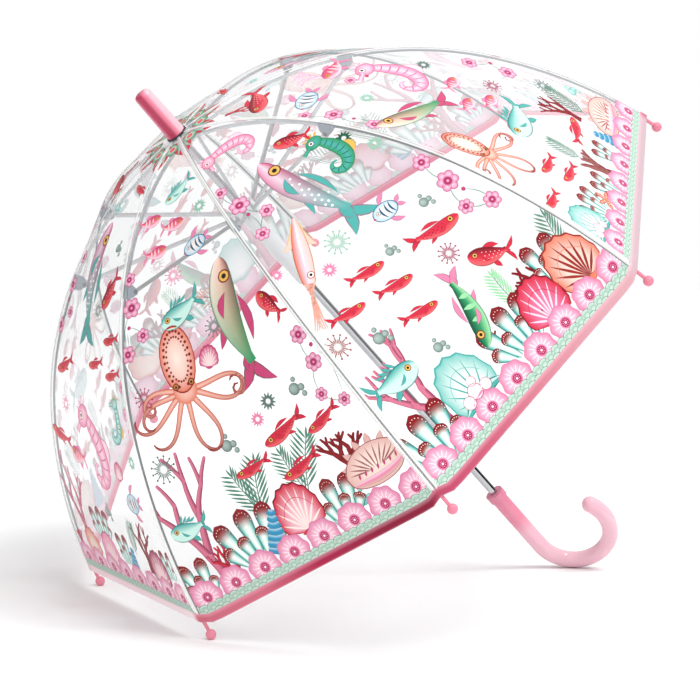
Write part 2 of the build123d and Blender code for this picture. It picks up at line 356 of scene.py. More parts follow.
def colourPoints(mesh, tone):
    # a colour for each point, read by the ink and seam materials
    attribute = mesh.color_attributes.new("ink", "FLOAT_COLOR", "POINT")
    attribute.data.foreach_set("color", tone.astype(np.float32).ravel())


# each part of a gore: its top, its foot and the bodies that it rides on
parts = {"upper": (dome["apexHole"], clipRun, "rib_"), "lower": (clipRun, hemRun, "rod_")}
filmGrid = {"across": 24, "down": 28}
filmPieces = {}
for k in range(ribCount):
    for part, (top, bottom, body) in parts.items():
        def lay(u, v, k=k, top=top, bottom=bottom):
            return onGore(k, 2 * u - 1, top + (bottom - top) * v, 0.0)
        filmPieces[part, k] = gridPiece(f"film_{part}_{k}", filmGrid["across"], filmGrid["down"], lay,
                                        filmFinish)
print("film laid", len(filmPieces))

# the print: flat shapes with a colour at each point
tints = {
    "black": (34, 18, 24), "white": (255, 252, 250), "cream": (250, 230, 218),
    "red": (204, 36, 62), "redDark": (118, 14, 30), "redPale": (232, 96, 100), "rust": (136, 22, 26),
    "pink": (228, 128, 166), "pinkPale": (248, 208, 224), "pinkDeep": (196, 66, 114), "magenta": (158, 22, 78),
    "dusk": (214, 116, 156), "duskPale": (246, 200, 220), "duskDark": (150, 60, 104),
    "orange": (222, 122, 98), "orangePale": (244, 196, 180), "orangeDark": (150, 44, 36),
    "teal": (74, 166, 160), "tealPale": (196, 232, 222), "tealDark": (20, 86, 88), "tealSoft": (120, 190, 182),
    "mint": (144, 186, 166), "mintPale": (200, 218, 206), "mintDark": (84, 132, 112),
    "green": (46, 148, 96), "greenDark": (14, 84, 58), "greenPale": (150, 214, 160),
    "blue": (44, 140, 180), "bluePale": (170, 208, 228), "blueDark": (18, 74, 112),
    "grey": (92, 114, 108), "greyPale": (168, 186, 180), "coral": (206, 112, 138), "coralDark": (146, 62, 90),
    "brown": (150, 84, 80), "gold": (226, 178, 84), "shell": (222, 176, 168), "shellDark": (158, 92, 94),
}
ink = {name: linear(value) for name, value in tints.items()}
sheet = {"points": [], "colours": [], "faces": [], "base": 0}
layerStep = 0.035  # millimetres between one layer of ink and the next


def startSheet():
    sheet["points"], sheet["colours"], sheet["faces"], sheet["base"] = [], [], [], 0


def onLayer(base):
    sheet["base"] = base


def pen(x, y, size=1.0, turn=0.0, flip=1):
    # where a figure stands: its middle in millimetres, its size, its turn clockwise, -1 to face the other way
    return (x, y, size, radians(turn), flip)


def stamp(where, points, colours, faces, layer):
    x, y, size, turn, flip = where
    p = np.asarray(points, float) * size
    p = p * np.array([flip, 1.0])
    c, s = cos(turn), sin(turn)
    p = np.stack([p[:, 0] * c - p[:, 1] * s + x, p[:, 0] * s + p[:, 1] * c + y], -1)
    first = len(sheet["points"])
    sheet["points"] += [(a, b, (layer + sheet["base"]) * layerStep) for a, b in p]
    sheet["colours"] += [tuple(c) for c in colours]
    for face in faces:
        loop = p[list(face)]
        area = np.sum(loop[:, 0] * np.roll(loop[:, 1], -1) - loop[:, 1] * np.roll(loop[:, 0], -1))
        order = face if area < 0 else face[::-1]
        sheet["faces"].append(tuple(first + i for i in order))


def blob(where, middle, rim, inner, outer, layer=0, line=None, lineWidth=0.07):
    # a filled outline, shaded from its middle to its rim, with an optional dark line round it
    rim, middle = np.asarray(rim, float), np.asarray(middle, float)
    count = len(rim)
    inner, outer = np.asarray(inner), np.asarray(outer)
    rings = [(0.55, 0.35), (1.0, 1.0)]
    points, colours = [middle], [inner]
    for share, mix in rings:
        points += list(middle + (rim - middle) * share)
        colours += [inner * (1 - mix) + outer * mix] * count
    faces = [(0, 1 + i, 1 + (i + 1) % count) for i in range(count)]
    faces += [
        (1 + i, 1 + count + i, 1 + count + (i + 1) % count, 1 + (i + 1) % count) for i in range(count)
    ]
    if line is not None:
        first = len(points)
        points += list(middle + (rim - middle) * (1 + lineWidth))
        points += list(rim)
        colours += [np.asarray(line)] * (2 * count)
        faces += [
            (first + i, first + (i + 1) % count, first + count + (i + 1) % count, first + count + i)
            for i in range(count)
        ]
    stamp(where, points, colours, faces, layer)


def oval(x, y, rx, ry, turn=0.0, waves=0, depth=0.0, count=16):
    a = np.linspace(0, 2 * pi, count, endpoint=False)
    grow = 1 + depth * np.cos(waves * a)
    px, py = rx * grow * np.cos(a), ry * grow * np.sin(a)
    c, s = cos(radians(turn)), sin(radians(turn))
    return np.stack([x + px * c - py * s, y + px * s + py * c], -1)


def spot(where, x, y, r, inner, outer=None, layer=3, count=8, line=None):
    blob(where, (x, y), oval(x, y, r, r, count=count), ink[inner], ink[outer or inner], layer,
         None if line is None else ink[line], 0.25)


def roundEye(where, x, y, r, pupil, rim):
    spot(where, x, y, r, "white", "cream", 3, 9, rim)
    spot(where, x, y, pupil, "black", layer=4, count=7)


def band(where, line, widths, top, middle, low, edge, layer=0, edgeShare=0.16, end=None):
    # a strip along a line, shaded across, with a darker edge, and turning to another colour at its end
    line, widths = np.asarray(line, float), np.asarray(widths, float)
    way = np.gradient(line, axis=0)
    way /= np.maximum(np.linalg.norm(way, axis=1), 1e-9)[:, None]
    side = np.stack([way[:, 1], -way[:, 0]], -1)
    stops = [(1.0, edge), (1 - edgeShare, top), (0.0, middle), (edgeShare - 1, low), (-1.0, edge)]
    points, colours = [], []
    for i, (at, w, n) in enumerate(zip(line, widths, side)):
        mix = 0.0 if end is None else (i / (len(line) - 1)) ** 1.6
        for share, colour in stops:
            points.append(at + n * w * share)
            tone = ink[colour] if isinstance(colour, str) else np.asarray(colour)
            colours.append(tone if end is None else tone * (1 - mix) + ink[end] * mix)
    faces = []
    for i in range(len(line) - 1):
        for j in range(4):
            faces.append((5 * i + j, 5 * i + j + 1, 5 * i + 6 + j, 5 * i + 5 + j))
    stamp(where, points, colours, faces, layer)


def strip(where, start, end, width, middle, edge, layer=0, bow=0.0, steps=7):
    # a leaf: pointed at both ends
    s = np.linspace(0, 1, steps)
    a, b = np.array(start, float), np.array(end, float)
    way = b - a
    side = np.array([-way[1], way[0]])
    line = a + way * s[:, None] + side * (bow * np.sin(pi * s))[:, None]
    widths = width * np.sin(pi * np.clip(s, 0.02, 0.98))
    band(where, line, widths, middle, middle, middle, edge, layer, 0.3)


def ray(where, turn, start, end, width, middle, edge, layer=0, steps=7):
    # a leaf that points away from the figure's middle
    c, s = cos(turn), sin(turn)
    strip(where, (start * c, start * s), (end * c, end * s), width, middle, edge, layer, steps=steps)


def curl(start, heading, length, bends, steps=14):
    # a line that turns as it goes: bends are degrees turned over its length, at its start and at its end
    s = np.linspace(0, 1, steps)
    angle = radians(heading) + np.radians(bends[0]) * s + np.radians(bends[1]) * s**3
    step = length / (steps - 1)
    x = start[0] + np.concatenate([[0], np.cumsum(np.cos(angle[:-1]) * step)])
    y = start[1] + np.concatenate([[0], np.cumsum(np.sin(angle[:-1]) * step)])
    return np.stack([x, y], -1)


def fish(where, body, fin, edge, deep, dots=None, stripes=None, end=None, spines=0):
    # faces left, one unit long: the body's colours run from its back to its belly
    onLayer(5)
    s = np.concatenate([(0.0, 0.008, 0.026, 0.052), np.linspace(0.09, 1, 13)])
    line = np.stack([-0.5 + 0.84 * s, 0.06 * np.sin(pi * s)], -1)
    widths = deep * np.sin(pi * np.clip(s, 0, 0.93) ** 0.72) ** 0.8 + 0.012 * np.clip(s / 0.05, 0.1, 1)
    fork = max(deep, 0.1)
    strip(where, (0.28, 0.03), (0.52, -fork * 1.3), 0.045, fin, edge, 0, 0.12)
    strip(where, (0.28, 0.03), (0.50, fork * 1.5), 0.045, fin, edge, 0, -0.12)
    strip(where, (0.26, 0.03), (0.42, 0.04), 0.05, fin, edge, 0)
    for i in range(spines):
        strip(where, (-0.2 + 0.08 * i, -deep * 0.7), (-0.06 + 0.1 * i, -deep * (1.6 - 0.2 * i)), 0.03, fin, edge,
              0, 0.1)
    if not spines:
        strip(where, (-0.16, -deep * 0.62), (0.2, -deep * 0.72), deep * 0.34, fin, edge, 0, -0.08)
    strip(where, (-0.02, deep * 0.8 + 0.05), (0.16, deep * 1.5 + 0.05), deep * 0.3, fin, edge, 0, -0.1)
    band(where, line, widths, body[0], body[1], body[2], edge, 1, 0.16, end)
    if stripes:
        for x in (-0.16, 0.0, 0.14):
            w = deep * 0.78 * (1 - abs(x) * 1.6)
            strip(where, (x, -w + 0.05), (x, w + 0.06), 0.03, stripes, stripes, 2)
    if dots:
        for i in range(5):
            for j in (-1, 0, 1):
                x = -0.18 + i * 0.09 + (0.045 if j == 0 else 0)
                spot(where, x, 0.05 + j * deep * 0.45 * (1 - 0.12 * i), 0.011, dots, layer=2, count=5)
    strip(where, (-0.22, 0.03), (-0.04, deep * 0.6 + 0.04), 0.03, fin, edge, 3, 0.15)
    eye = 0.036 + deep * 0.06
    spot(where, -0.34, 0.0, eye, "gold", "gold", 3, 10, "redDark")
    spot(where, -0.34, 0.0, eye * 0.5, "black", layer=4, count=7)


def tallFish(where):
    # a short deep fish with long fins, faces left
    onLayer(5)
    fin, dark = "pink", "blueDark"
    strip(where, (-0.1, -0.2), (0.3, -0.55), 0.08, fin, dark, 0, -0.12)
    strip(where, (-0.1, 0.2), (0.3, 0.5), 0.08, fin, dark, 0, 0.12)
    strip(where, (0.3, 0.0), (0.58, -0.2), 0.07, fin, dark, 0)
    strip(where, (0.3, 0.0), (0.58, 0.18), 0.07, fin, dark, 0)
    blob(where, (-0.05, 0), oval(-0.05, 0, 0.4, 0.27, count=18), ink["cream"], ink["bluePale"], 1, ink[dark])
    for x in (-0.12, 0.06, 0.2):
        strip(where, (x, -0.22), (x + 0.03, 0.22), 0.035, dark, "bluePale", 2, 0.15)
    strip(where, (-0.42, 0.04), (-0.5, 0.0), 0.03, "red", "redDark", 2)
    roundEye(where, -0.27, -0.06, 0.055, 0.026, "black")


def seahorse(where, pale="pinkPale", mid="pink", dark="pinkDeep", fin="pinkPale"):
    # faces left, one unit tall, its head at the top
    onLayer(4)
    line = curl((-0.02, -0.36), 62, 1.02, (30, 330), 26)
    s = np.linspace(0, 1, len(line))
    widths = 0.105 * np.sin(pi * np.clip(s * 0.93 + 0.1, 0, 1)) ** 0.9 * (1 - 0.45 * s) + 0.012
    strip(where, line[7] + (0.07, 0.0), line[13] + (0.11, 0.0), 0.055, fin, dark, 0, -0.25)
    band(where, line, widths, mid, pale, mid, dark, 1, 0.16)
    for i in range(3, 22, 2):
        way = line[i + 1] - line[i]
        side = np.array([way[1], -way[0]]) / max(hypot(*way), 1e-9)
        w = widths[i] * 0.8
        strip(where, line[i] - side * w, line[i] + side * w, 0.007, dark, dark, 2, 0.1, steps=4)
    blob(where, (-0.06, -0.37), oval(-0.06, -0.37, 0.115, 0.09, -12, count=16), ink[pale], ink[mid], 2, ink[dark])
    band(where, [(-0.12, -0.36), (-0.2, -0.325), (-0.27, -0.3)], [0.04, 0.024, 0.032], mid, pale, mid, dark, 2)
    for i in range(4):
        a = -2.4 + i * 0.5
        foot = (-0.04 + 0.06 * cos(a), -0.38 + 0.06 * sin(a))
        strip(where, foot, (-0.03 + 0.17 * cos(a), -0.39 + 0.15 * sin(a)), 0.018, fin, dark, 1, steps=4)
    roundEye(where, -0.09, -0.385, 0.034, 0.018, dark)


def octopus(where):
    # head up, eight curled arms: each one's heading, length and bends
    onLayer(3)
    arms = [
        (198, 0.72, (-20, -470)), (174, 0.64, (30, -260)), (150, 0.70, (-40, 210)), (122, 0.66, (-26, 170)),
        (92, 0.66, (22, -160)), (62, 0.72, (-20, 210)), (28, 0.76, (30, -330)), (2, 0.86, (-60, 480)),
    ]
    for heading, length, bends in arms:
        start = (0.1 * cos(radians(heading)), 0.04 + 0.06 * sin(radians(heading)))
        line = curl(start, heading, length, bends, 24)
        s = np.linspace(0, 1, len(line))
        band(where, line, 0.023 * (1 - s) ** 0.55 + 0.006, "orange", "orangePale", "orange", "orangeDark", 0, 0.22,
             "rust")
    blob(where, (0, 0.04), oval(0, 0.03, 0.13, 0.13, count=16), ink["orangePale"], ink["orange"], 2)
    blob(where, (0, -0.26), oval(0, -0.26, 0.17, 0.32, 0, 2, 0.05, 26), ink["cream"], ink["orange"], 3,
         ink["orangeDark"], 0.05)
    for i in range(26):
        a = 2 * pi * i / 26
        for share, r in ((0.86, 0.016), (0.68, 0.012)):
            x, y = 0.16 * share * cos(a), -0.26 + 0.31 * share * sin(a)
            if y < 0.0:
                spot(where, x, y, r, "rust", layer=4, count=6)
    for side in (-1, 1):
        spot(where, side * 0.085, -0.02, 0.028, "gold", "rust", 5, 10, "redDark")
        spot(where, side * 0.085, -0.018, 0.013, "black", layer=6, count=8)


def squid(where):
    # mantle up, arms down, one unit tall
    onLayer(3)
    for i in range(7):
        line = curl((-0.045 + 0.015 * i, 0.06), 90 + (i - 3) * 7, 0.44, ((i - 3) * -9, (i % 2) * 40 - 20), 12)
        s = np.linspace(0, 1, len(line))
        band(where, line, 0.013 * (1 - s) + 0.003, "orangePale", "orange", "orangePale", "orangeDark", 0, 0.3)
    for side in (1, -1):
        strip(where, (0.0, -0.5), (side * 0.13, -0.22), 0.06, "orangePale", "gold", 0, side * 0.2)
    s = np.linspace(0, 1, 12)
    line = np.stack([0 * s, -0.5 + 0.6 * s], -1)
    widths = 0.068 * np.sin(pi * np.clip(0.03 + s * 0.75, 0, 1)) ** 0.9 + 0.004
    band(where, line, widths, "orangePale", "pinkPale", "orange", "orangeDark", 1, 0.14)
    strip(where, (0.0, -0.46), (0.0, -0.04), 0.012, "cream", "pinkPale", 2)
    roundEye(where, 0.028, 0.03, 0.026, 0.013, "orangeDark")


def scallop(where, pale="pinkPale", dark="pinkDeep", edge="magenta", ribs=9, ray="cream", width=0.022):
    # hinge down, fan up
    onLayer(5)
    spread = np.linspace(-82, 82, ribs * 2 + 1)
    rim = [(0.0, 0.44)]
    for i, a in enumerate(spread):
        reach = (0.88 if i % 2 else 0.84) * (1 - 0.28 * (abs(a) / 82) ** 3)
        rim.append((reach * sin(radians(a)) * 0.66, 0.4 - reach * cos(radians(a))))
    blob(where, (0, 0.3), rim, ink[pale], ink[dark], 0, ink[edge], 0.045)
    for i in range(ribs):
        turn = -68 + 136 * i / (ribs - 1)
        a, reach = radians(turn), 0.8 * (1 - 0.28 * abs(turn / 82) ** 3)
        strip(where, (0, 0.38), (reach * sin(a) * 0.66, 0.4 - reach * cos(a)), width, ray, pale, 1, steps=5)
    strip(where, (-0.16, 0.42), (0.16, 0.42), 0.06, dark, edge, 2)
    line = [(0.62 * sin(radians(a)) * 0.62, 0.4 - 0.62 * cos(radians(a))) for a in range(-56, 57, 16)]
    band(where, line, [0.005] * len(line), dark, dark, dark, dark, 2)


def spire(where):
    # a shell of whorls that widen downwards
    onLayer(5)
    rings = 7
    for i in range(rings):
        a, b = -0.5 + i / rings, -0.5 + (i + 1.1) / rings
        wide = 0.05 + 0.23 * (i + 1) / rings
        line = np.stack([np.linspace(-wide, wide, 7), (a + b) / 2 + 0.05 * np.sin(np.linspace(0, pi, 7))], -1)
        tall = 0.5 / rings * np.sin(np.linspace(0.5, pi - 0.5, 7)) ** 0.4 * 1.1
        band(where, line, tall, "bluePale", "blue", "blue", "blueDark", i % 2, 0.16)


def conch(where):
    # a knobbed shell lying on its lip
    onLayer(5)
    for i in range(6):
        a = radians(200 + 28 * i)
        strip(where, (0.3 * cos(a), 0.05 + 0.26 * sin(a)), (0.52 * cos(a), 0.02 + 0.44 * sin(a)), 0.055, "shell",
              "shellDark", 0)
    rim = []
    for a in range(0, 360, 12):
        wide, tall = (1.0, 0.36) if a > 180 else (0.96, 0.2)
        rim.append((0.5 * cos(radians(a)) * wide, 0.08 + tall * sin(radians(a))))
    blob(where, (0, 0.0), rim, ink["cream"], ink["shell"], 1, ink["shellDark"], 0.04)
    for i in range(11):
        a = radians(192 + 15.6 * i)
        strip(where, (0.12 * cos(a), 0.06), (0.44 * cos(a), 0.06 + 0.3 * sin(a)), 0.014, "shellDark", "shell",
              2, steps=5)
    s = np.linspace(0, 1, 12)
    line = np.stack([-0.44 + 0.88 * s, 0.14 + 0.05 * np.sin(pi * s)], -1)
    widths = 0.055 * np.sin(pi * np.clip(s, 0.03, 0.97)) ** 0.5
    band(where, line, widths, "pinkPale", "pink", "shell", "shellDark", 3)
    for i in range(7):
        x = -0.33 + 0.11 * i
        strip(where, (x, 0.1), (x + 0.035, 0.02), 0.02, "pinkDeep", "shellDark", 3, steps=4)


def coral(where, colour, dark, seed, depth, spread, thick, first=0.3):
    # branches that fork upwards from a foot: how often, how wide, how thick and how long at first
    onLayer(0)
    rng = random.Random(seed)

    def grow(x, y, heading, length, wide, left):
        line = curl((x, y), heading, length, (rng.uniform(-26, 26), rng.uniform(-14, 14)), 5)
        s = np.linspace(0, 1, len(line))
        band(where, line, wide * (1 - 0.3 * s), colour, colour, dark, dark, 0, 0.3)
        ex, ey = line[-1]
        spot(where, ex, ey, wide * 0.72, colour, colour, 0, 8)
        if left:
            for way in (-1, 1):
                if left < depth and rng.random() < 0.12:
                    continue
                turn = heading + way * spread * rng.uniform(0.6, 1.1)
                turn = turn + 0.25 * (-90 - turn)
                grow(ex, ey, turn, length * rng.uniform(0.7, 0.95), wide * 0.74, left - 1)
    grow(0.0, 0.5, -90, first, thick, depth)


def anemone(where, count):
    # long petals, pale in the middle, dark red at the top, with a beaded edge
    onLayer(2)
    rng = random.Random(3)
    x, y, size, turn, flip = where
    where = (x, y + 0.1 * size, 0.8 * size, turn, flip)
    back, front = max(count - 2, 2), max(count - 1, 2)
    petals = [((i - (back - 1) / 2) * 0.27, (i - (back - 1) / 2) * 17, 1.0) for i in range(back)]
    petals.sort(key=lambda petal: -abs(petal[0]))
    petals += [((i - (front - 1) / 2) * 0.25, (i - (front - 1) / 2) * 20, 0.56) for i in range(front)]
    for layer, (foot, lean, tall) in enumerate(petals):
        a = radians(-90 + lean + rng.uniform(-5, 5))
        reach = 0.98 * tall * (1 - 0.5 * abs(foot)) * rng.uniform(0.86, 1.06)
        s = np.linspace(0, 1, 15)
        line = np.stack([foot * 0.8 + reach * s * cos(a), 0.5 + reach * s * sin(a)], -1)
        full = 0.155 if tall > 0.9 else 0.12
        late = np.clip((s - 0.76) / 0.24, 0, 1)
        swell = 0.2 + 0.8 * np.clip(s / 0.76, 0, 1) ** 0.9
        widths = full * swell * np.sqrt(np.maximum(1 - late**2, 0.0)) + 0.003
        way = np.array([cos(a), sin(a)])
        side = np.array([way[1], -way[0]])
        stops = (1.0, 0.8, 0.45, 0.0, -0.45, -0.8, -1.0)
        tones = ("tealDark", "teal", "tealPale", "white", "tealPale", "teal", "tealDark")
        points, colours = [], []
        for t, at, w in zip(s, line, widths):
            red = np.clip((t - 0.6) / 0.24, 0, 1)
            red = red * red * (3 - 2 * red)
            for share, tone in zip(stops, tones):
                rim = min(abs(share) ** 1.4, 1.0)
                points.append(at + side * w * share)
                colours.append(ink[tone] * (1 - red) + (ink["rust"] * (1 - rim) + ink["redDark"] * rim) * red)
        faces = [(7 * m + j, 7 * m + j + 1, 7 * m + 8 + j, 7 * m + 7 + j) for m in range(14) for j in range(6)]
        stamp(where, points, colours, faces, layer * 0.35)
        for j in range(9):
            b = radians(-84 + 21 * j)
            at = line[0] + way * reach * (0.7 + 0.21 * cos(b)) + side * full * 0.84 * sin(b)
            spot(where, at[0], at[1], 0.009, "cream", layer=layer * 0.35 + 0.2, count=5)


def frond(where, colour="mintDark", dark="mintDark", leaves=8):
    # palm leaves: long thin leaflets either side of a stem
    onLayer(0)
    stem = curl((0, 0.5), -90, 1.0, (12, 8), leaves + 3)
    band(where, stem, [0.01] * len(stem), dark, dark, dark, dark, 0)
    for i in range(1, leaves + 2):
        x, y = stem[i]
        reach = 0.42 * sin(pi * (0.25 + 0.6 * i / (leaves + 2)))
        for side in (-1, 1):
            a = radians(-90 + side * 38)
            strip(where, (x, y), (x + reach * cos(a), y + reach * sin(a)), 0.022, colour, dark, 1, steps=5)
    strip(where, stem[-2], stem[-1] + (0.0, -0.12), 0.022, colour, dark, 1)


def burst(where, colour):
    # long and short rays by turns: thin ones with a dot at the end where the burst is large
    onLayer(0)
    rays, dotted = 12, where[2] > 8
    for i in range(rays):
        a = 2 * pi * i / rays
        ray(where, a, 0.24, 1, 0.055 if dotted else 0.12, colour, colour, steps=5)
        if dotted:
            spot(where, cos(a), sin(a), 0.095, colour, layer=0, count=6)
        ray(where, a + pi / rays, 0.24, 0.7, 0.05, colour, colour, steps=4)


def bubbles(where, colour="grey", pale="greyPale"):
    onLayer(2)
    for x, y, r in ((0, 0, 0.5), (0.62, 0.1, 0.3), (0.25, -0.72, 0.22), (0.66, 0.66, 0.24)):
        blob(where, (x - r * 0.3, y - r * 0.3), oval(x, y, r, r, count=12), ink[pale], ink[colour], 0)


def blossom(where):
    for i in range(6):
        a = 2 * pi * i / 6
        x, y = 0.56 * cos(a), 0.56 * sin(a)
        blob(where, (x * 0.7, y * 0.7), oval(x, y, 0.44, 0.4, degrees(a), count=12), ink["duskPale"],
             ink["dusk"], 0, ink["duskDark"], 0.08)
    blob(where, (0, 0), oval(0, 0, 0.5, 0.5, count=14), ink["duskPale"], ink["dusk"], 1)
    spot(where, 0, 0, 0.32, "pinkDeep", "magenta", 2, 12, "duskDark")
    spot(where, 0, 0, 0.12, "pinkPale", "dusk", 3, 7)


def bigBlossom(where):
    rim = oval(0, 0, 1.03, 1.03, 0, 8, 0.05, 48)
    blob(where, (0, 0), rim, ink["pinkPale"], ink["dusk"], 0)
    for i in range(16):
        ray(where, 2 * pi * i / 16, 0.3, 0.82, 0.02, "white", "duskPale", 1, 4)
    spot(where, 0, 0, 0.34, "pinkDeep", "pink", 2, 18)
    spot(where, 0, 0, 0.25, "pinkDeep", "magenta", 3, 16)
    for i in range(9):
        a = 2 * pi * (i + 0.5) / 9
        spot(where, 0.42 * cos(a), 0.42 * sin(a), 0.035, "white", layer=3, count=5)
        spot(where, 0.16 * cos(a), 0.16 * sin(a), 0.022, "pinkPale", layer=4, count=5)
    spot(where, 0, 0, 0.07, "white", "pinkPale", 4, 8)


def starfish(where):
    onLayer(8)
    for i in range(5):
        a = radians(-90 + 72 * i)
        ray(where, a, 0, 1, 0.2, "orange", "orangeDark", steps=6)
        for j in range(3):
            spot(where, (0.25 + 0.2 * j) * cos(a), (0.25 + 0.2 * j) * sin(a), 0.05, "cream", layer=2, count=5)
    spot(where, 0, 0, 0.26, "orange", layer=1, count=10)


def clam(where):
    # an open shell with pale pebbles in it
    x, y, *rest = where
    scallop((x, y - 2, *rest), "white", "tealSoft", "teal", 8, "teal", 0.016)
    strip(where, (-0.46, 0.34), (0.5, 0.38), 0.12, "teal", "tealDark", 3, -0.12)
    strip(where, (-0.4, 0.3), (0.44, 0.33), 0.05, "tealPale", "teal", 4, -0.12)
    for x, y, r in ((-0.2, 0.2, 0.1), (0.0, 0.16, 0.12), (0.2, 0.22, 0.09), (0.08, 0.02, 0.075)):
        blob(where, (x - 0.03, y - 0.03), oval(x, y, r, r, count=14), ink["white"], ink["pinkPale"], 5,
             ink["brown"], 0.08)


def spray(*points):
    # blossoms hung on thin stems: points are (x, y, size) and the small ones are buds
    onLayer(2)
    for start, end in zip(points, points[1:]):
        strip(pen(0, 0), start[:2], end[:2], 0.35, "mintDark", "mintDark", 0, 0.12)
    for x, y, r in points:
        if r > 3.5:
            blossom(pen(x, y, r, x * 7))
        else:
            spot(pen(x, y, r), 0, 0, 1.0, "pinkDeep", "magenta", 1, 8)


def border():
    # the foot of every panel: a scalloped strip over a row of large blossoms
    onLayer(10)
    for i in range(8):
        bigBlossom(pen(-113 + 33.2 * i, 458, 15.2, i * 29))
    onLayer(14)
    for row, (y, r) in enumerate(((474.0, 5.8), (468.0, 5.6))):
        for i in range(-17, 18):
            where, layer = pen(i * 8.4 + (4.2 if row else 0), y, r), 2 - 2 * row
            blob(where, (0, 0), oval(0, 0, 1.0, 0.9, count=14), ink["mint"], ink["mintPale"], layer,
                 ink["mintDark"], 0.08)
            blob(where, (0, 0.1), oval(0, 0.05, 0.6, 0.5, count=12), ink["mintPale"], ink["mint"], layer + 1)


def crown():
    # rosettes round the top, with crimson petals beside the ribs
    onLayer(4)
    blob(pen(0, 29, 9), (0, 0), oval(0, 0, 0.95, 1.0, 0, 8, 0.08, 32), ink["greenPale"], ink["mintDark"], 0,
         ink["greenDark"], 0.06)
    blob(pen(0, 29, 5.4), (0, 0), oval(0, 0, 1, 1, count=14), ink["cream"], ink["mint"], 1)
    spot(pen(0, 29, 3.4), 0, 0, 1.0, "redPale", "red", 2, 12)
    for side in (-1, 1):
        strip(pen(0, 0), (side * 4, 16), (side * 15.5, 50), 3.6, "red", "redDark", 0, side * 0.1)
        strip(pen(0, 0), (side * 3, 14), (side * 9, 46), 2.4, "mint", "mintDark", 1, side * -0.1)


tealFish = {"body": ("teal", "tealPale", "tealPale"), "fin": "teal", "edge": "tealDark", "deep": 0.2, "spines": 4}
pinkFish = {"body": ("pinkDeep", "redPale", "pinkPale"), "fin": "pink", "edge": "pinkDeep", "deep": 0.24,
            "stripes": "pinkPale"}
koi = {"body": ("red", "red", "redPale"), "fin": "red", "edge": "redDark", "deep": 0.108, "dots": "redDark"}
fatKoi = {"body": ("redDark", "red", "redPale"), "fin": "red", "edge": "redDark", "deep": 0.19, "dots": "cream"}
greenFish = {"body": ("greenDark", "green", "greenPale"), "fin": "pink", "edge": "greenDark", "deep": 0.1,
             "stripes": "greenPale"}
tailFish = {"body": ("shellDark", "orangePale", "cream"), "fin": "pinkDeep", "edge": "greenDark", "deep": 0.1,
            "end": "green"}
roseFish = {"body": ("pinkDeep", "pinkPale", "pink"), "fin": "teal", "edge": "duskDark", "deep": 0.078,
            "dots": "white", "end": "teal"}


def each(figure, places, *facts, **looks):
    # the same figure at several places, each given as a pen's
    for place in places:
        figure(pen(*place), *facts, **looks)


def shoal(places, size, turn, looks, flip=1):
    each(fish, [(x, y, size, turn, flip) for x, y in places], **looks)


def bursts(*places):
    for x, y, size, colour in places:
        burst(pen(x, y, size), colour)


def designA():
    fish(pen(12, 97, 36, -30), **tealFish)
    shoal([(-23, 116), (2, 135), (-21, 154)], 27, 10, pinkFish, -1)
    tallFish(pen(24, 171, 30, -10))
    bursts((-7, 188, 9, "pink"), (34, 133, 8, "mint"), (-75, 279, 9, "magenta"), (18, 254, 9, "grey"),
           (-87, 343, 12, "grey"), (20, 345, 7, "pink"), (37, 336, 8, "grey"))
    spray((-54, 166, 7), (-58, 195, 10), (-75, 235, 8), (-54, 226, 7), (-66, 212, 2))
    fish(pen(-9, 223, 48, -12), **tealFish)
    fish(pen(42, 258, 122, 92), **tailFish)
    frond(pen(30, 232, 40, -70), "shell", "shellDark", 5)
    fish(pen(78, 262, 34, 62), **fatKoi)
    octopus(pen(-32, 288, 98, 8))
    scallop(pen(2, 276, 22, 20))
    each(fish, ((38, 362, 48, -14), (76, 370, 38, -18), (-6, 378, 38, -4), (36, 396, 42, -12)), **koi)
    each(bubbles, ((-19, 352, 11), (65, 338, 11)))
    spray((91, 299, 8), (93, 326, 8), (86, 353, 6), (103, 366, 6), (98, 312, 2))
    coral(pen(-84, 402, 136), "coral", "coralDark", 4, 3, 22, 0.042, 0.3)
    fish(pen(-92, 398, 40, 6), **tealFish)
    anemone(pen(-42, 416, 71), 5)
    anemone(pen(-110, 434, 52), 4)
    anemone(pen(46, 426, 60), 5)
    coral(pen(-72, 436, 54), "red", "redDark", 8, 4, 42, 0.08, 0.2)
    coral(pen(80, 400, 66), "rust", "redDark", 9, 4, 40, 0.08, 0.2)
    each(frond, ((-14, 396, 52, 16), (-26, 398, 48, -22), (40, 396, 52, 24), (24, 400, 44, -14)))
    scallop(pen(11, 428, 50), "pinkPale", "red", "redDark")
    spire(pen(-18, 434, 40, 20))
    conch(pen(98, 424, 62, -4))
    each(bubbles, ((70, 446, 12), (-12, 428, 8)), "teal", "tealPale")


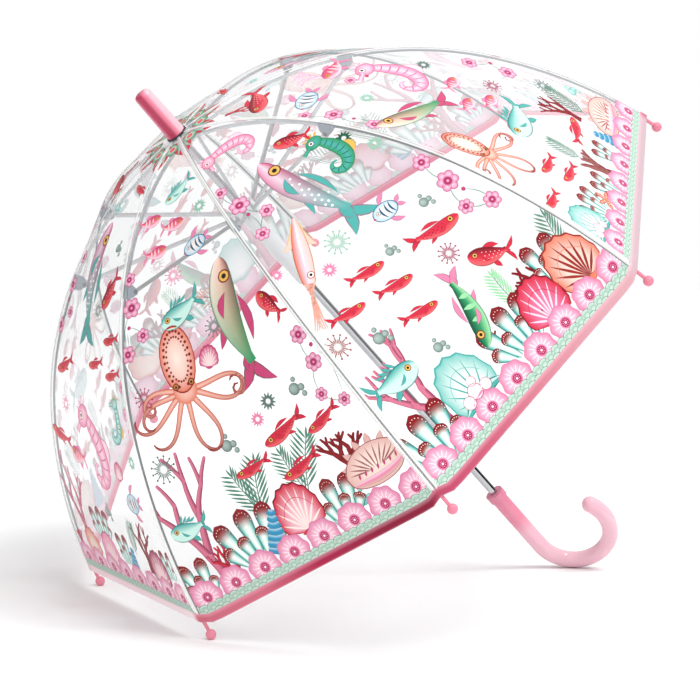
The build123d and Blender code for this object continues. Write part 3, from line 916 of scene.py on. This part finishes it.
def designB():
    seahorse(pen(2, 106, 72, -52))
    fish(pen(34, 156, 36, 40), **fatKoi)
    spray((-44, 137, 7), (-45, 165, 10), (-36, 192, 7), (-56, 206, 7), (-48, 180, 2))
    fish(pen(4, 210, 126, 84), **roseFish)
    seahorse(pen(42, 206, 72, 6), "teal", "green", "tealDark", "gold")
    bursts((59, 200, 8, "greenDark"), (70, 228, 8, "mint"), (-48, 278, 7, "pink"), (-24, 266, 11, "mint"),
           (-97, 329, 11, "brown"), (-80, 245, 6, "pink"), (30, 346, 9, "magenta"))
    squid(pen(-62, 264, 112, 36))
    tallFish(pen(26, 280, 30, 10))
    shoal([(-30, 303), (-69, 315), (-23, 329), (-27, 360)], 37, 18, koi, -1)
    fish(pen(38, 322, 52, 16, -1), **koi)
    each(bubbles, ((-2, 307, 8), (52, 300, 9), (-68, 350, 11), (-40, 392, 9)))
    spray((80, 274, 8), (81, 303, 10), (73, 330, 7), (93, 343, 8), (84, 318, 2))
    fish(pen(55, 372, 42, 34), **fatKoi)
    fish(pen(-88, 382, 50, 8, -1), **tealFish)
    coral(pen(-80, 406, 124), "coral", "coralDark", 12, 4, 24, 0.046, 0.28)
    each(anemone, ((-104, 424, 71), (16, 416, 66)), 5)
    anemone(pen(84, 402, 58, 10), 4)
    clam(pen(-48, 430, 56, -6))
    fish(pen(2, 388, 74, -70), **greenFish)
    coral(pen(-4, 432, 50), "rust", "redDark", 5, 4, 36, 0.08, 0.22)
    coral(pen(64, 414, 66), "rust", "redDark", 6, 4, 34, 0.075, 0.22)
    scallop(pen(52, 432, 50, 10), "pink", "red", "redDark", ray="pinkPale")
    scallop(pen(97, 428, 54, -8), "cream", "orange", "orangeDark", ray="orangeDark", width=0.03)
    frond(pen(104, 404, 44, 12))
    frond(pen(36, 402, 36), "greenPale", "green")


def designC():
    coral(pen(-12, 78, 34, 180), "red", "redDark", 7, 3, 32, 0.07)
    fish(pen(-4, 92, 50, -16), **fatKoi)
    tallFish(pen(-20, 148, 38, 8))
    coral(pen(20, 146, 30), "pinkPale", "pink", 15, 4, 36, 0.1)
    fish(pen(35, 164, 38, 12), **pinkFish)
    spray((-50, 150, 7), (-51, 178, 9), (-66, 218, 8), (-58, 198, 2))
    spray((12, 185, 6), (20, 200, 2))
    spray((75, 292, 8), (86, 312, 2), (80, 330, 9))
    seahorse(pen(24, 232, 98, 22))
    fish(pen(-34, 250, 92, 40), **tailFish)
    shoal([(-2, 297), (28, 279), (16, 317)], 26, 8, pinkFish, -1)
    fish(pen(5, 345, 60, -8), **tealFish)
    octopus(pen(-72, 322, 74, 8))
    bursts((-20, 205, 8, "mint"), (52, 250, 8, "grey"), (-96, 268, 9, "pink"), (46, 318, 9, "magenta"),
           (82, 366, 9, "grey"))
    shoal([(-49, 380), (-104, 388), (-46, 402)], 36, 10, koi)
    fish(pen(30, 403, 42, -12, -1), **koi)
    coral(pen(54, 384, 50), "rust", "redDark", 22, 4, 32, 0.08, 0.22)
    frond(pen(72, 392, 44, 10))
    anemone(pen(-77, 420, 47), 5)
    anemone(pen(-35, 432, 45), 4)
    anemone(pen(20, 430, 42), 3)
    starfish(pen(-58, 442, 13, 12))
    clam(pen(-108, 430, 46, 4))
    coral(pen(-8, 430, 46), "brown", "redDark", 31, 3, 22, 0.14)
    spire(pen(47, 440, 40, -14))
    conch(pen(84, 432, 62, -6))
    frond(pen(-12, 396, 36))
    bubbles(pen(96, 396, 10), "teal", "tealPale")


def designD():
    fish(pen(16, 70, 32, 16), **koi)
    fish(pen(-6, 168, 122, 84), **roseFish)
    fish(pen(35, 174, 42, -60), **fatKoi)
    bubbles(pen(25, 133, 9))
    bubbles(pen(-17, 92, 8), "teal", "tealPale")
    spray((-51, 146, 7), (-58, 175, 8), (-51, 202, 6), (-71, 216, 8), (-60, 190, 2))
    shoal([(56, 219), (24, 244), (65, 251)], 34, -12, koi)
    fish(pen(-80, 324, 46, 14), **koi)
    fish(pen(-42, 340, 34, 10), **pinkFish)
    fish(pen(-54, 252, 42, -20), **koi)
    bursts((17, 195, 9, "grey"), (-57, 292, 9, "pink"), (92, 330, 8, "mint"))
    seahorse(pen(8, 334, 112, -24))
    seahorse(pen(68, 300, 58, 8), "tealPale", "teal", "tealDark", "gold")
    scallop(pen(54, 344, 20))
    tallFish(pen(74, 372, 34, -8))
    spray((96, 284, 8), (88, 260, 7), (98, 300, 2))
    coral(pen(-82, 400, 96), "coral", "coralDark", 14, 4, 28, 0.055, 0.3)
    anemone(pen(-35, 400, 49), 5)
    each(anemone, ((8, 422, 47), (112, 420, 42)), 4)
    scallop(pen(-80, 438, 36, -8), "cream", "orange", "orangeDark")
    scallop(pen(-34, 438, 42, 8), "pinkPale", "pink", "magenta")
    scallop(pen(86, 436, 42), "pinkPale", "magenta", "redDark")
    spire(pen(24, 440, 38, 16))
    coral(pen(64, 412, 64), "rust", "redDark", 26, 4, 34, 0.075, 0.22)
    frond(pen(40, 412, 36, 12))
    bubbles(pen(-4, 392, 10))
    coral(pen(-112, 440, 30), "red", "redDark", 28, 3, 30, 0.09)


# in millimetres, but the lift in metres
printCut = {"side": 3.6, "top": 16.0, "step": 12.0, "foot": 4.5, "lift": 0.00012}


def cutSheet(flat, across, along, way, above=False, below=False):
    every = flat.verts[:] + flat.edges[:] + flat.faces[:]
    bmesh.ops.bisect_plane(flat, geom=every, dist=1e-6, plane_co=(across, along, 0), plane_no=way,
                           clear_outer=above, clear_inner=below)


def printPanel(design, copies):
    # draws one panel flat, cuts it at the middle and the clips, and lays each part on the film
    startSheet()
    crown()
    border()
    design()
    points = np.array(sheet["points"])
    colours = np.hstack([np.array(sheet["colours"]), np.ones((len(points), 1))])
    flat = bmesh.new()
    shade = flat.verts.layers.float_color.new("ink")
    wide = halfWidth(points[:, 1] / 1000) * 1000
    verts = []
    for (x, y, lift), w, colour in zip(points, wide, colours):
        vert = flat.verts.new((x / max(w - printCut["side"], 1.0), y / 1000, lift / 1000))
        vert[shade] = colour
        verts.append(vert)
    for face in sheet["faces"]:
        flat.faces.new([verts[i] for i in face])
    sideways, downwards = (1, 0, 0), (0, 1, 0)
    cutSheet(flat, 1, 0, sideways, above=True)
    cutSheet(flat, -1, 0, sideways, below=True)
    cutSheet(flat, 0, hemRun - printCut["foot"] / 1000, downwards, above=True)
    cutSheet(flat, 0, printCut["top"] / 1000, downwards, below=True)
    cutSheet(flat, 0, clipRun, downwards)
    cutSheet(flat, 0, 0, sideways)
    for i in range(1, int(hemRun * 1000 / printCut["step"])):
        cutSheet(flat, 0, i * printCut["step"] / 1000, downwards)
    flat.verts.ensure_lookup_table()
    where = np.array([v.co[:] for v in flat.verts])
    tone = np.array([v[shade][:] for v in flat.verts])
    faces = [[v.index for v in f.verts] for f in flat.faces]
    middles = np.array([f.calc_center_median()[:] for f in flat.faces])
    flat.free()
    across = where[:, 0] * np.maximum(halfWidth(where[:, 1]) - printCut["side"] / 1000, 0.001)
    isUpper = middles[:, 1] < clipRun
    for home in copies:
        placed = onPanel(home, across, where[:, 1], where[:, 2] + printCut["lift"])
        for half, k in ((middles[:, 0] < 0, home), (middles[:, 0] >= 0, (home + 1) % ribCount)):
            for part, level in (("upper", isUpper), ("lower", ~isUpper)):
                chosen = np.nonzero(half & level)[0]
                used = sorted({i for f in chosen for i in faces[f]})
                number = {old: new for new, old in enumerate(used)}
                name = f"print_{part}_{'a' if k == home else 'b'}_{k}"
                mesh = bpy.data.meshes.new(name)
                mesh.from_pydata(placed[used].tolist(), [], [[number[i] for i in faces[f]] for f in chosen])
                colourPoints(mesh, tone[used])
                mesh.materials.append(printWithPaintedBacklight)
                piece = bpy.data.objects.new(name, mesh)
                bpy.context.collection.objects.link(piece)
                foldAway(piece, f"{parts[part][2]}{k}")
                printPieces.setdefault((part, k), []).append(piece)


printPieces = {}
for panel, design in ((5, designA), (6, designB), (7, designC), (4, designD)):
    printPanel(design, (panel, (panel + 4) % ribCount))
print("print laid", sum(len(p) for p in printPieces.values()))

# the hem: a vinyl strip folded round the film's foot; its colours given along each panel are painted light and
# shade, paler where the panel faces the light and deeper crimson where it is turned away
hem = {
    "height": 0.0086, "bulge": 0.0006, "lift": 0.0002,
    # the pale colour and its share row by row are a painted highlight along the fold, most at its bend
    "pale": (246, 196, 212), "paintedHighlight": (0.0, 0.35, 0.3, 0.0, 0.0, 0.25, 0.4),  # towards the pale, row by row
    # the colours for panels 4 to 7 are painted light and shade; the plain colour is the binding's own rose
    "plain": [(214, 96, 128)],
    4: [(250, 216, 224), (252, 230, 235)],
    5: [(203, 105, 124), (203, 102, 123), (168, 24, 70), (136, 8, 50), (132, 6, 46)],
    6: [(178, 66, 96), (190, 92, 114), (201, 123, 138), (206, 150, 160), (206, 160, 167)],
    7: [(192, 166, 173)],
}
# its outline across, in heights down and bulges out
hemLine = np.array([
    (-1.0, 0.15), (-0.985, 0.7), (-0.9, 0.95), (-0.5, 1.0), (-0.1, 1.0), (0.02, 0.75), (0.07, 0.0),
    (0.02, -0.75), (-0.1, -1.0), (-0.5, -1.0), (-0.9, -0.95), (-0.985, -0.7), (-1.0, -0.15)])
hemRows, hemColumns = len(hemLine) - 1, filmGrid["across"]


# hem colours for rib k: painted light and shade from panel to panel, and a painted highlight row by row
def hemPaintedLightTone(k):
    # the first half of the columns lies on the panel before rib k, the second on the panel after it
    tone = np.ones(((hemRows + 1) * (hemColumns + 1), 4), np.float32)
    for i in range(len(tone)):
        row, column = divmod(i, hemColumns + 1)
        before = column < hemColumns // 2
        along = column / hemColumns + (0.5 if before else -0.5)  # from one rib of the panel to the next
        colours = hem.get((k - 1) % ribCount if before else k, hem["plain"])
        stops = np.array([linear(c) for c in colours])
        base = np.array([np.interp(along * (len(stops) - 1), range(len(stops)), stops[:, c]) for c in range(3)])
        paintedHighlight = hem["paintedHighlight"][min(row, hemRows - row)]
        tone[i, :3] = base * (1 - paintedHighlight) + linear(hem["pale"]) * paintedHighlight
    return tone


hemPieces = {}
for k in range(ribCount):
    def lay(u, v, k=k):
        down, out = [np.interp(v * hemRows, range(hemRows + 1), hemLine[:, i]) for i in range(2)]
        return onGore(k, 2 * u - 1, hemRun + down * hem["height"], out * hem["bulge"] + hem["lift"])
    hemPieces[k] = gridPiece(f"hem_{k}", hemColumns, hemRows, lay, hemPaintedLight)
    colourPoints(hemPieces[k].data, hemPaintedLightTone(k))
    foldAway(hemPieces[k], f"rod_{k}")
print("hems laid", len(hemPieces))

# the seams: a pale strip with grey edges along every rib
seam = {
    "half": (0.0019, 0.0022, 0.0029, 0.0034), "halfAt": (0.0, 0.12, 0.3, 0.48),  # half width along the rib
    "rise": 0.0005, "lift": 0.00035, "aboveHem": 0.0075, "rows": 30,
    "edge": (138, 140, 144), "pale": (238, 238, 234), "cover": 0.55,  # least cover on the upper gores
}
# place across, colour and cover from the middle out
seamHalf = [(0.25, "pale", 0.3), (0.45, "pale", 0.8), (0.78, "pale", 0.6), (0.9, "edge", 0.75), (1.0, "edge", 0.3)]
seamStops = [(-s[0], *s[1:]) for s in seamHalf[::-1]] + [(0.0, "pale", 0.1)] + seamHalf
seamColumns = len(seamStops) - 1
for k in range(ribCount):
    for part, (top, bottom, body) in parts.items():
        def lay(u, v, k=k, top=top, bottom=bottom):
            share = np.interp(u * seamColumns, range(seamColumns + 1), [s[0] for s in seamStops])
            run = top + (min(bottom, hemRun - seam["aboveHem"]) - top) * v
            reach = np.minimum(np.interp(run, seam["halfAt"], seam["half"]), halfWidth(run) * 0.8)
            lift = seam["rise"] * (1 - 0.7 * share**2) + seam["lift"]
            return onGore(k, share * reach / halfWidth(run), run, lift)
        strap = gridPiece(f"seam_{part}_{k}", seamColumns, seam["rows"], lay, seamFinish)
        row = np.array([[*linear(seam[tone]), cover] for _, tone, cover in seamStops])
        if part == "upper":
            row[:, 3] = np.maximum(row[:, 3], seam["cover"])
        colourPoints(strap.data, np.tile(row, (seam["rows"] + 1, 1)))
        foldAway(strap, f"{body}{k}")

# the film rides on the body under it, and its area, with the hanging foot, is worked out but not used
for (part, k), film in filmPieces.items():
    top, bottom, body = parts[part]
    foldAway(film, f"{body}{k}")
    runs = np.linspace(top, bottom, 60)
    across = 2 * halfWidth(runs)
    area = float(np.sum((across[1:] + across[:-1]) / 2 * np.diff(runs)))
    drops = [hang.get(panel % ribCount, hang["plain"]) if part == "lower" else 0.0 for panel in (k - 1, k)]
    area += sum(drops) * float(across[-1]) / 2 * hang["power"] / (hang["power"] + 1)
for k in range(ribCount):
    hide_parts(f"canopy_panel_{k}")

# the CAD nodes that show
nodeFinishes = {
    "shaft_tube": chromeFinish, "ferrule": ferrulePaintedShadeFinish, "canopy_washer": washerFinish, "top_notch": whiteFinish,
    "notch_wire": wireFinish, "handle": handlePaintedShadeFinish, "runner": whiteFinish, "runner_wire": wireFinish,
    "runner_collar": whiteFinish,
}
ribFinishes = {"rib_channel": channelFinish, "rib_clip": clipFinish, "rib_rod": rodFinish, "rib_tip": pinkFinish,
               "stretcher": channelFinish}
nodeFinishes |= {f"{name}_{k}": finish for name, finish in ribFinishes.items() for k in range(ribCount)}
for name, finish in nodeFinishes.items():
    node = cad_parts[name]
    node.data.materials.clear()
    node.data.materials.append(finish)
print("finishes given to the CAD nodes")

# the floor fades out far from the object and from below
floorFacts = {"normal": (0.4847, 0.4847, 0.7281), "point": (-0.32566, -0.13624, 0.23413), "size": 14.0,
              "fadeFrom": 1.0, "fadeTo": 5.0, "colour": (0.92, 0.92, 0.92, 1)}
clearSelection()
bpy.ops.mesh.primitive_plane_add(size=floorFacts["size"])
floor = bpy.context.object
floor.name = "floor"
floor.rotation_euler = Vector(floorFacts["normal"]).to_track_quat("Z", "Y").to_euler()
floor.location = floorFacts["point"]
material, tree, shader = newMaterial("paleFloor", {
    "Base Color": floorFacts["colour"], "Roughness": 0.6, "Specular IOR Level": 0.2})
place = addNode(tree, "TexCoord")
length = addNode(tree, "VectorMath", operation="LENGTH")
fade = addNode(tree, "MapRange", {"From Min": floorFacts["fadeFrom"], "From Max": floorFacts["fadeTo"]},
               interpolation_type="SMOOTHSTEP")
geometry = addNode(tree, "NewGeometry")
either = addNode(tree, "Math", operation="MAXIMUM")
join(tree, (place.outputs["Object"], length.inputs[0]), (length.outputs["Value"], fade.inputs["Value"]),
     (fade.outputs["Result"], either.inputs[0]), (geometry.outputs["Backfacing"], either.inputs[1]))
mixShaders(tree, either.outputs["Value"], shader, addNode(tree, "BsdfTransparent"))
floor.data.materials.append(material)

# white behind the object, and softer light from the low side
skyFacts = {"towards": (0.62, -0.05, 0.78), "reach": 0.8, "low": 0.2, "high": 0.95, "seen": 1.0}
world = bpy.data.worlds.new("studio")
bpy.context.scene.world = world
world.use_nodes = True
skyTree = world.node_tree
sky = skyTree.nodes["Background"]
setValues(sky, {"Color": (1.0, 1.0, 1.0, 1)})
place = addNode(skyTree, "TexCoord")
lean = addNode(skyTree, "VectorMath", {1: skyFacts["towards"]}, operation="DOT_PRODUCT")
level = addNode(skyTree, "MapRange", {
    "From Min": -skyFacts["reach"], "From Max": skyFacts["reach"], "To Min": skyFacts["low"],
    "To Max": skyFacts["high"]}, interpolation_type="SMOOTHSTEP")
seen = addNode(skyTree, "LightPath")
choose = addNode(skyTree, "Mix", {3: skyFacts["seen"]})
join(skyTree, (place.outputs["Generated"], lean.inputs[0]), (lean.outputs["Value"], level.inputs["Value"]),
     (seen.outputs["Is Camera Ray"], choose.inputs[0]), (level.outputs["Result"], choose.inputs[2]),
     (choose.outputs[0], sky.inputs["Strength"]))

cameraFacts = {"place": (1.01076, -1.88285, 1.16267), "turn": (1.0571540, 0.6585493, 0.1662871), "lens": 122.818,
               "sensor": 36.0, "clipEnd": 60}
cameraData = bpy.data.cameras.new("camera")
cameraData.lens = cameraFacts["lens"]
cameraData.sensor_width = cameraFacts["sensor"]
cameraData.clip_end = cameraFacts["clipEnd"]
camera = bpy.data.objects.new("camera", cameraData)
camera.location = cameraFacts["place"]
camera.rotation_euler = cameraFacts["turn"]
bpy.context.collection.objects.link(camera)
bpy.context.scene.camera = camera
cameraTurn = camera.rotation_euler.to_matrix()


def aimAt(thing, facts, forwards):
    # stands to the right, up and back as seen from the camera, and faces the aim
    aim = Vector(facts["aim"])
    thing.location = aim + cameraTurn @ Vector(facts["stands"])
    thing.rotation_euler = (aim - thing.location).to_track_quat(forwards, "Y").to_euler()


keyFacts = {"from": (1.5, 2.2, 1.2), "energy": 1.75, "angle": radians(38)}
sun = bpy.data.lights.new("keyLight", "SUN")
sun.energy = keyFacts["energy"]
sun.angle = keyFacts["angle"]
key = bpy.data.objects.new("keyLight", sun)
key.rotation_euler = (cameraTurn @ Vector(keyFacts["from"])).to_track_quat("Z", "Y").to_euler()
bpy.context.collection.objects.link(key)

topFacts = {"aim": (0.0, 0.0, 0.27), "stands": (0.9, 2.2, 0.9), "size": 0.4, "energy": 12}
disk = bpy.data.lights.new("topLight", "AREA")
disk.shape = "DISK"
disk.size = topFacts["size"]
disk.energy = topFacts["energy"]
topLight = bpy.data.objects.new("topLight", disk)
aimAt(topLight, topFacts, "-Z")
topLight.visible_camera = False
bpy.context.collection.objects.link(topLight)

# a black card beside the camera's right, seen only as a reflection in the metal and the gloss
cardFacts = {"aim": (0, 0, 0.2), "stands": (1.3, 0.3, 0.75), "size": 3.0, "colour": (0.004, 0.004, 0.004, 1)}
clearSelection()
bpy.ops.mesh.primitive_plane_add(size=1.0)
card = bpy.context.object
card.name = "blackCard"
aimAt(card, cardFacts, "Z")
card.scale = (cardFacts["size"], cardFacts["size"], 1.0)
material, tree, shader = newMaterial("blackCloth", {
    "Base Color": cardFacts["colour"], "Roughness": 1.0, "Specular IOR Level": 0.0})
card.data.materials.append(material)
card.visible_camera = card.visible_diffuse = card.visible_shadow = card.visible_transmission = False

view = bpy.context.scene.view_settings
view.view_transform = "Standard"
view.look = "None"
view.exposure = 0.0
print("camera and light set")
